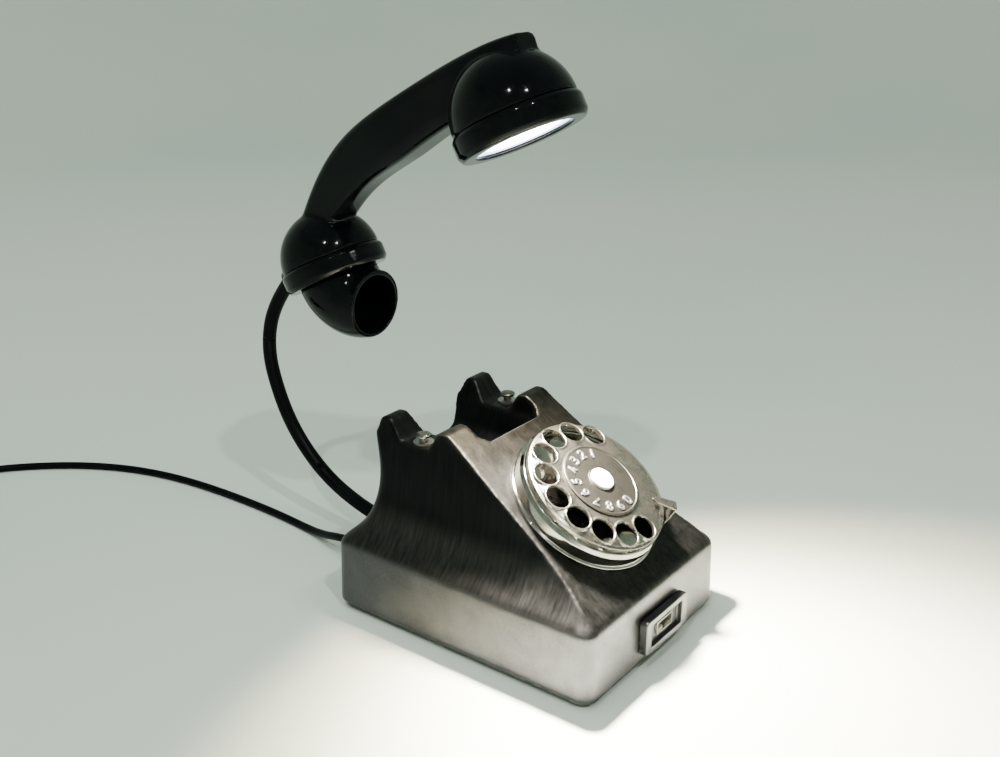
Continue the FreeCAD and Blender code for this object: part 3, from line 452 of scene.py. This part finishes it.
def mesh_arrays(mesh):
    co = np.empty(len(mesh.vertices) * 3, np.float64)
    mesh.vertices.foreach_get("co", co)
    normals = np.empty(len(mesh.vertices) * 3, np.float64)
    mesh.vertices.foreach_get("normal", normals)
    edges = np.empty(len(mesh.edges) * 2, np.int64)
    mesh.edges.foreach_get("vertices", edges)
    return co.reshape(-1, 3), normals.reshape(-1, 3), edges.reshape(-1, 2)


def spread(values, edges, rounds):
    """Averages a vertex value with its neighbours' several times."""
    count = np.bincount(edges.ravel(), minlength=len(values)).clip(1)
    for _ in range(rounds):
        total = np.bincount(edges[:, 0], values[edges[:, 1]], len(values))
        total += np.bincount(edges[:, 1], values[edges[:, 0]], len(values))
        values = 0.5 * values + 0.5 * total / count
    return values


def convexity(mesh):
    """How sharply the surface turns outward at each vertex, per metre."""
    co, normals, edges = mesh_arrays(mesh)
    a, b = edges[:, 0], edges[:, 1]
    step = co[b] - co[a]
    length = (step ** 2).sum(1).clip(1e-12)
    bend = ((normals[b] - normals[a]) * step).sum(1) / length
    count = np.bincount(edges.ravel(), minlength=len(co)).clip(1)
    total = np.bincount(a, bend, len(co)) + np.bincount(b, bend, len(co))
    return spread(total / count, edges, 3)


def ramp(values, low, high):
    """A smooth step from 0 at low to 1 at high."""
    t = np.clip((values - low) / (high - low), 0, 1)
    return t * t * (3 - 2 * t)


def store(mesh, name, values):
    """Keeps a vertex value where a material's Attribute node finds it."""
    layer = mesh.attributes.new(name, "FLOAT", "POINT")
    layer.data.foreach_set("value", values.astype(np.float32))


# ---------------------------------------------------------------- casting

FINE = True


def make_casting():
    """The casting. Vertex values from 0 to 1 mark its zones for the cast_metal material."""
    voxel = 0.00095 if FINE else 0.0014
    body = softened("body_casting", cad_copy("body_shell"), voxel, 7, 0.5)
    mesh = body.data
    co, normals, edges = mesh_arrays(mesh)
    y, z = co[:, 1], co[:, 2]
    skirt = 1 - ramp(z, 0.0375, 0.0405)
    above = np.abs((co - np.array(DIAL_CENTRE)) @ np.array(DIAL_OUT) + CASTING_BELOW_DIAL)
    slope = (1 - ramp(above, 0.0016, 0.0042)) * ramp(normals @ np.array(DIAL_OUT), 0.6, 0.9)
    crown = ramp(z, 0.092, 0.096) * ramp(normals[:, 2], 0.2, 0.6) * (y < 0.03)
    # Cheek mask for the painted shade: full on the side faces, eased where they face up.
    cheek = ramp(z, 0.050, 0.064) * (1 - np.clip(slope + crown, 0, 1))
    cheek = cheek * (1 - 0.55 * ramp(normals[:, 2], 0.3, 0.8))
    store(mesh, "skirt", skirt)
    store(mesh, "slope", spread(np.clip(slope + 0.7 * crown, 0, 1), edges, 4))
    store(mesh, "cheek", spread(cheek, edges, 6))
    # Crest mask for the painted highlight and rubbed wear, stronger towards the front.
    edge = ramp(convexity(mesh), 160, 420) * ramp(z, 0.046, 0.060)
    store(mesh, "edge", spread(edge * (0.45 + 0.55 * (y < 0.03)), edges, 1))
    return finish_piece(body, "base", "cast_metal", "body_shell")


def make_spring():
    """The hook switch's spring, squashed between its shelf and the lever."""
    obj = from_bmesh("hook_spring_coil", cad_copy("hook_spring"))
    smooth_faces(obj.data)
    paint(obj, "steel")
    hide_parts("hook_spring")
    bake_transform(obj)


make_casting()
make_spring()


# ---------------------------------------------------------------- dial

def make_wheel():
    """The finger wheel with a raised lip round each hole."""
    made = cad_copy("finger_wheel")
    for k in range(10):
        degrees = HOLE_ZERO - k * HOLE_PITCH
        lean = (DIAL_OUT + (on_dial(1, degrees, 0) - DIAL_CENTRE).normalized() * 0.10).normalized()
        add_ring(made, on_dial(HOLE_CIRCLE, degrees, LIP_HEIGHT), lean, 0.00655, 0.00055)
    wheel = softened("finger_wheel_worn", made, 0.00034 if FINE else 0.0006, 4, 0.5)
    finish_piece(wheel, "dial_wheel", "nickel", "finger_wheel")


def make_disc():
    """The number disc keeps its CAD shape; raised numerals stand on it."""
    for k in range(10):
        degrees = HOLE_ZERO - k * HOLE_PITCH + HOLE_PITCH / 2
        digit = (10 - k) % 10
        data = bpy.data.curves.new(f"numeral_{digit}", "FONT")
        data.body = str(digit)
        data.size = 0.0072
        data.extrude = 0.0003
        data.bevel_depth = 0.00022
        data.bevel_resolution = 2
        data.align_x = "CENTER"
        data.align_y = "CENTER"
        holder = bpy.data.objects.new("numeral", data)
        bpy.context.scene.collection.objects.link(holder)
        graph = bpy.context.evaluated_depsgraph_get()
        mesh = bpy.data.meshes.new_from_object(holder.evaluated_get(graph))
        bpy.data.objects.remove(holder)
        out = (on_dial(1, degrees, 0) - DIAL_CENTRE).normalized()
        across = out.cross(DIAL_OUT)
        turn = Matrix((across, out, DIAL_OUT)).transposed().to_4x4()
        mesh.transform(Matrix.Translation(on_dial(NUMERAL_CIRCLE, degrees, NUMERAL_HEIGHT)) @ turn)
        finish_piece(new_object(f"numeral_{digit}", mesh), "dial_wheel", "steel")


def make_cap_pin():
    """The small dark dot on the hub cap."""
    made = bmesh.new()
    bmesh.ops.create_cone(made, cap_ends=True, segments=20, radius1=0.00055, radius2=0.00045,
                          depth=0.0008)
    turn = DIAL_OUT.to_track_quat("Z", "Y").to_matrix().to_4x4()
    made.transform(Matrix.Translation(on_dial(2.3, 190, 6.45)) @ turn)
    finish_piece(from_bmesh("cap_pin", made), "dial_wheel", "black_plastic")


make_wheel()
make_disc()
make_cap_pin()
finish_piece(softened("finger_stop_worn", cad_copy("finger_stop"), 0.00022, 4), "base", "nickel",
             "finger_stop")


# ---------------------------------------------------------------- handset

HANDSET_PARTS = {
    "handset_shell": (0.0008, 14),
    "mouth_cap": (0.00045, 6),
    "mouth_horn": (0.0005, 8),
    "ear_cap": (0.00045, 6),
}
for part_name, (voxel, rounds) in HANDSET_PARTS.items():
    soft_part = softened(part_name + "_moulded", cad_copy(part_name), voxel, rounds)
    finish_piece(soft_part, "handset", "bakelite", part_name)
finish_piece(softened("usb_bezel_moulded", cad_copy("usb_bezel"), 0.00035, 3), "base",
             "black_plastic", "usb_bezel")


# ---------------------------------------------------------------- lines

def spline(name, points, radius):
    """A NURBS curve with these control points, in metres."""
    data = bpy.data.curves.new(name, "CURVE")
    data.dimensions = "3D"
    line = data.splines.new("NURBS")
    line.points.add(len(points) - 1)
    for spot, point in zip(line.points, points):
        spot.co = (*point, 1.0)
    line.order_u = 3
    line.use_endpoint_u = True
    data.resolution_u = 8
    data.bevel_depth = radius
    data.bevel_resolution = 5
    data.use_fill_caps = True
    obj = bpy.data.objects.new(name, data)
    bpy.context.scene.collection.objects.link(obj)
    return obj


def centreline(points):
    """Points along the NURBS curve with these control points."""
    line = spline("line", points, 0.0)
    line.data.use_fill_caps = False
    mesh = bpy.data.meshes.new_from_object(line)
    bpy.data.objects.remove(line)
    found = [vertex.co.copy() for vertex in mesh.vertices]
    bpy.data.meshes.remove(mesh)
    return found


def sweep(name, path, radius, sides=28):
    """A tube round a path that lies in the middle plane x = 0."""
    made = bmesh.new()
    rings = []
    for k, point in enumerate(path):
        ahead = path[min(k + 1, len(path) - 1)] - path[max(k - 1, 0)]
        up = Vector((1, 0, 0)).cross(ahead.normalized())
        rings.append([made.verts.new(point + (Vector((1, 0, 0)) * math.cos(a) + up * math.sin(a))
                                     * radius)
                      for a in (2 * math.pi * j / sides for j in range(sides))])
    for here, there in zip(rings, rings[1:]):
        for j in range(sides):
            i = (j + 1) % sides
            made.faces.new((here[j], here[i], there[i], there[j]))
    made.faces.new(list(reversed(rings[0])))
    made.faces.new(rings[-1])
    bmesh.ops.recalc_face_normals(made, faces=made.faces)
    tube = from_bmesh(name, made)
    smooth_faces(tube.data)
    tube.data.polygons[-1].use_smooth = False
    tube.data.polygons[-2].use_smooth = False
    return tube


# ---------------------------------------------------------------- bent arm

ARM_RADIUS = 0.0040
ARM_BASE = mm(0, 100.0, 18.7)
ARM_MIDDLE = mm(0, 184.3, 86.0)
ARM_HEAD = mm(0, 164.7, 151.3)
SLEEVE_CUT_LOW = mm(0, 150.0, 37.0)
SLEEVE_CUT_HIGH = mm(0, 187.0, 112.0)
ARM_KNOTS = [
    (0, 84.0, 17.0), (0, 92.0, 17.0), (0, 100.0, 18.7), (0, 122.5, 23.6), (0, 144.5, 33.2),
    (0, 162.5, 47.6), (0, 176.0, 65.5), (0, 184.3, 86.0), (0, 187.6, 101.8), (0, 185.5, 119.0),
    (0, 178.2, 134.5), (0, 164.7, 151.3), (0, 156.5, 159.5),
]


def make_arm():
    """The bent arm in three lengths of sleeve."""
    path = centreline([mm(*knot) for knot in ARM_KNOTS])

    def nearest(point):
        return min(range(len(path)), key=lambda k: (path[k] - point).length)

    cut_low = nearest(SLEEVE_CUT_LOW)
    cut_high = nearest(SLEEVE_CUT_HIGH)
    joints = (
        ("arm_sleeve_low", path[:cut_low + 1], "base", "lower_arm", ARM_BASE, "arm_stub"),
        ("arm_sleeve_middle", path[cut_low:cut_high + 1], "lower_arm", "upper_arm", ARM_MIDDLE,
         "arm_lower"),
        ("arm_sleeve_high", path[cut_high:], "upper_arm", "handset", ARM_HEAD, "arm_upper"),
    )
    for name, part, low, high, turn_point, node in joints:
        obj = sweep(name, part, ARM_RADIUS)
        paint(obj, "cord_black")
        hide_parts(node)
        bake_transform(obj)


make_arm()


# ---------------------------------------------------------------- mains lead

CORD_RADIUS = 0.00225
FLOOR_LINE = 2.35
CORD_ROUTE = [
    (-22.0, 99.0, 13.0), (-22.0, 108.0, 13.0), (-20.2, 120.0, 10.2), (-16.4, 133.5, 5.6),
    (-12.6, 149.0, FLOOR_LINE), (-10.4, 174.0, FLOOR_LINE), (-9.6, 205.0, FLOOR_LINE),
    (-10.6, 240.0, FLOOR_LINE), (-14.2, 273.0, FLOOR_LINE), (-22.4, 304.0, FLOOR_LINE),
    (-36.0, 332.0, FLOOR_LINE), (-54.5, 356.5, FLOOR_LINE), (-76.0, 377.0, FLOOR_LINE),
    (-98.5, 389.3, FLOOR_LINE), (-122.5, 394.2, FLOOR_LINE), (-144.5, 392.0, FLOOR_LINE),
    (-159.1, 386.1, FLOOR_LINE),
]
COIL_CENTRE = (-142.0, 354.0)
TURN_STEP = 30
CHORD_GROWTH = 1.0 / 0.9665
# Each leg: first angle and swing in degrees, then radius and height, each at start and end.
COIL_LEGS = (
    (118.0, 1440.0, 36.4, 18.0, FLOOR_LINE, FLOOR_LINE),
    (1558.0, 50.0, 18.0, 18.0, FLOOR_LINE, 6.9),
    (1608.0, 1462.0, 18.0, 36.4, 6.9, 6.9),
)
PLUG_PLACE = math.radians(190.0)
PLUG_REACH = 36.4


def coil_points():
    """Control points of the coil's turns: in along the floor, up a layer and out again."""
    found = []
    for start, swing, radius, radius_end, high, high_end in COIL_LEGS:
        steps = max(2, round(swing / TURN_STEP))
        for k in range(1, steps + 1):
            share = k / steps
            angle = math.radians(start + swing * share)
            r = (radius + (radius_end - radius) * share) * CHORD_GROWTH
            found.append((COIL_CENTRE[0] + r * math.cos(angle),
                          COIL_CENTRE[1] + r * math.sin(angle),
                          high + (high_end - high) * share))
    return found[:-1]


def plug_point(along, side=0.0, high=7.05):
    out = Vector((math.cos(PLUG_PLACE), math.sin(PLUG_PLACE), 0))
    ahead = Vector((-math.sin(PLUG_PLACE), math.cos(PLUG_PLACE), 0))
    centre = Vector((*COIL_CENTRE, 0))
    return centre + out * (PLUG_REACH + side) + ahead * along + Vector((0, 0, high))


def make_cord():
    """The mains lead: out of the gland, along the floor, round the coil and into the plug."""
    points = [mm(*point) for point in CORD_ROUTE + coil_points()]
    points += [plug_point(-2.0, 0.0, 6.95) * MM, plug_point(12.0) * MM, plug_point(22.0) * MM]
    lead = spline("mains_lead", points, CORD_RADIUS)
    paint(lead, "cord_black")
    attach(lead, "base")
    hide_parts("mains_cord", "cord_coil")
    tie = make_tie()


def make_tie():
    """A cloth strap round the bundle of turns."""
    angle = math.radians(60.0)
    out = Vector((math.cos(angle), math.sin(angle), 0))
    along = Vector((-math.sin(angle), math.cos(angle), 0))
    centre = Vector((*COIL_CENTRE, 0)) * MM
    outline = []
    low, high, near, far, corner = 0.0001, 0.0102, 0.0148, 0.0396, 0.0024
    for cx, cz, first in ((far, high, 0), (near, high, 90), (near, low, 180), (far, low, 270)):
        for k in range(5):
            a = math.radians(first + 22.5 * k)
            px = cx - corner * (1 if cx == far else -1) + corner * math.cos(a)
            pz = cz - corner * (1 if cz == high else -1) + corner * math.sin(a)
            outline.append((px, pz))
    made = bmesh.new()
    rings = []
    middle = Vector(((near + far) / 2, (low + high) / 2))
    for offset, shrink in ((-0.0045, 0.0), (0.0045, 0.0), (0.0045, 0.0007), (-0.0045, 0.0007)):
        loop = []
        for px, pz in outline:
            inward = (middle - Vector((px, pz))).normalized() * shrink
            loop.append(made.verts.new(centre + out * (px + inward.x) + along * offset
                                       + Vector((0, 0, pz + inward.y))))
        rings.append(loop)
    count = len(outline)
    for k in range(4):
        here, there = rings[k], rings[(k + 1) % 4]
        for j in range(count):
            i = (j + 1) % count
            made.faces.new((here[j], here[i], there[i], there[j]))
    bmesh.ops.recalc_face_normals(made, faces=made.faces)
    return finish_piece(from_bmesh("cord_tie", made), "base", "rubber")


def make_plug():
    """The plug's body with four grip rings on its relief."""
    made = cad_copy("plug_body")
    ahead = Vector((-math.sin(PLUG_PLACE), math.cos(PLUG_PLACE), 0))
    for k in range(4):
        add_ring(made, plug_point(21.2 + 2.3 * k) * MM, ahead, 0.0033 + 0.0003 * k, 0.0006, 32, 8)
    return finish_piece(softened("plug_moulded", made, 0.0005, 4), "base", "cord_black",
                        "plug_body")


make_plug()
make_cord()


# ---------------------------------------------------------------- floor and light

def backdrop():
    """A pale floor that curves up into a wall all round, far outside the object."""
    p = Paint("backdrop", (0.72, 0.78, 0.71), 0.6)
    cloud = p.noise(1.4, 3.0, 0.5)
    weave = p.cells(420)
    p.feed("Base Color", p.mix(p.span(cloud, 0.3, 0.7), (0.63, 0.72, 0.64), (0.73, 0.77, 0.69)))
    p.bump(weave, 0.05, 0.0003)
    flat, curve, top, steps, below = 1.5, 1.2, 2.6, 96, 0.00002
    profile = [(0.0, 0.0), (0.6, 0.0), (flat, 0.0)]
    for k in range(1, 13):
        a = math.radians(90.0 * k / 12)
        profile.append((flat + curve * math.sin(a), curve * (1 - math.cos(a))))
    profile.append((flat + curve, top))
    made = bmesh.new()
    rings = [[made.verts.new((0.0, 0.0, -below))]]
    for radius, high in profile[1:]:
        rings.append([made.verts.new((radius * math.cos(2 * math.pi * k / steps),
                                      radius * math.sin(2 * math.pi * k / steps),
                                      high - below)) for k in range(steps)])
    for k in range(steps):
        i = (k + 1) % steps
        made.faces.new((rings[0][0], rings[1][k], rings[1][i]))
        for here, there in zip(rings[1:], rings[2:]):
            made.faces.new((here[k], there[k], there[i], here[i]))
    floor = from_bmesh("backdrop", made)
    smooth_faces(floor.data)
    floor.data.materials.append(p.material)


def area_light(name, place, aim, size, power, colour):
    """A round lamp that shines at a point."""
    data = bpy.data.lights.new(name, "AREA")
    data.shape = "DISK"
    data.size = size
    data.energy = power
    data.color = colour
    light = bpy.data.objects.new(name, data)
    bpy.context.scene.collection.objects.link(light)
    light.location = place
    light.rotation_mode = "QUATERNION"
    light.rotation_quaternion = (Vector(aim) - Vector(place)).to_track_quat("-Z", "Y")
    return light


LED_BELOW_LENS = 24.0
LED_LEAN = Vector((-0.17, -0.12, 0.0))


def led_light(name, power, colour, spread_degrees, blend):
    """One cone of the lamp's own light. It rides on the handset."""
    data = bpy.data.lights.new(name, "SPOT")
    data.energy = power
    data.color = colour
    data.spot_size = math.radians(spread_degrees)
    data.spot_blend = blend
    data.shadow_soft_size = 0.013
    light = bpy.data.objects.new(name, data)
    bpy.context.scene.collection.objects.link(light)
    light.location = on_handset(EAR_ALONG, EAR_UP - LED_BELOW_LENS)
    light.rotation_mode = "QUATERNION"
    beam = LED_LEAN - HANDSET_BACK
    light.rotation_quaternion = beam.to_track_quat("-Z", "Y")
    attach(light, "handset")


backdrop()
led_light("led_core", 48.0, (1.0, 0.95, 0.89), 88, 0.9)
led_light("led_wide", 18.0, (1.0, 0.82, 0.56), 108, 0.5)
area_light("sky", (-0.3, 0.5, 2.4), (0, 0, 0), 2.4, 30.0, (0.90, 1.0, 0.95)).visible_glossy = False
area_light("spark_left", (-0.95, -0.35, 1.45), (0, 0, 0.2), 0.045, 8.0, (1.0, 1.0, 1.0))
area_light("spark_right", (-0.45, -0.85, 1.35), (0, 0, 0.2), 0.045, 8.0, (1.0, 1.0, 1.0))

world = bpy.data.worlds.new("world")
world.use_nodes = True
world.node_tree.nodes["Background"].inputs["Color"].default_value = (0.80, 0.88, 0.84, 1.0)
world.node_tree.nodes["Background"].inputs["Strength"].default_value = 0.35
bpy.context.scene.world = world
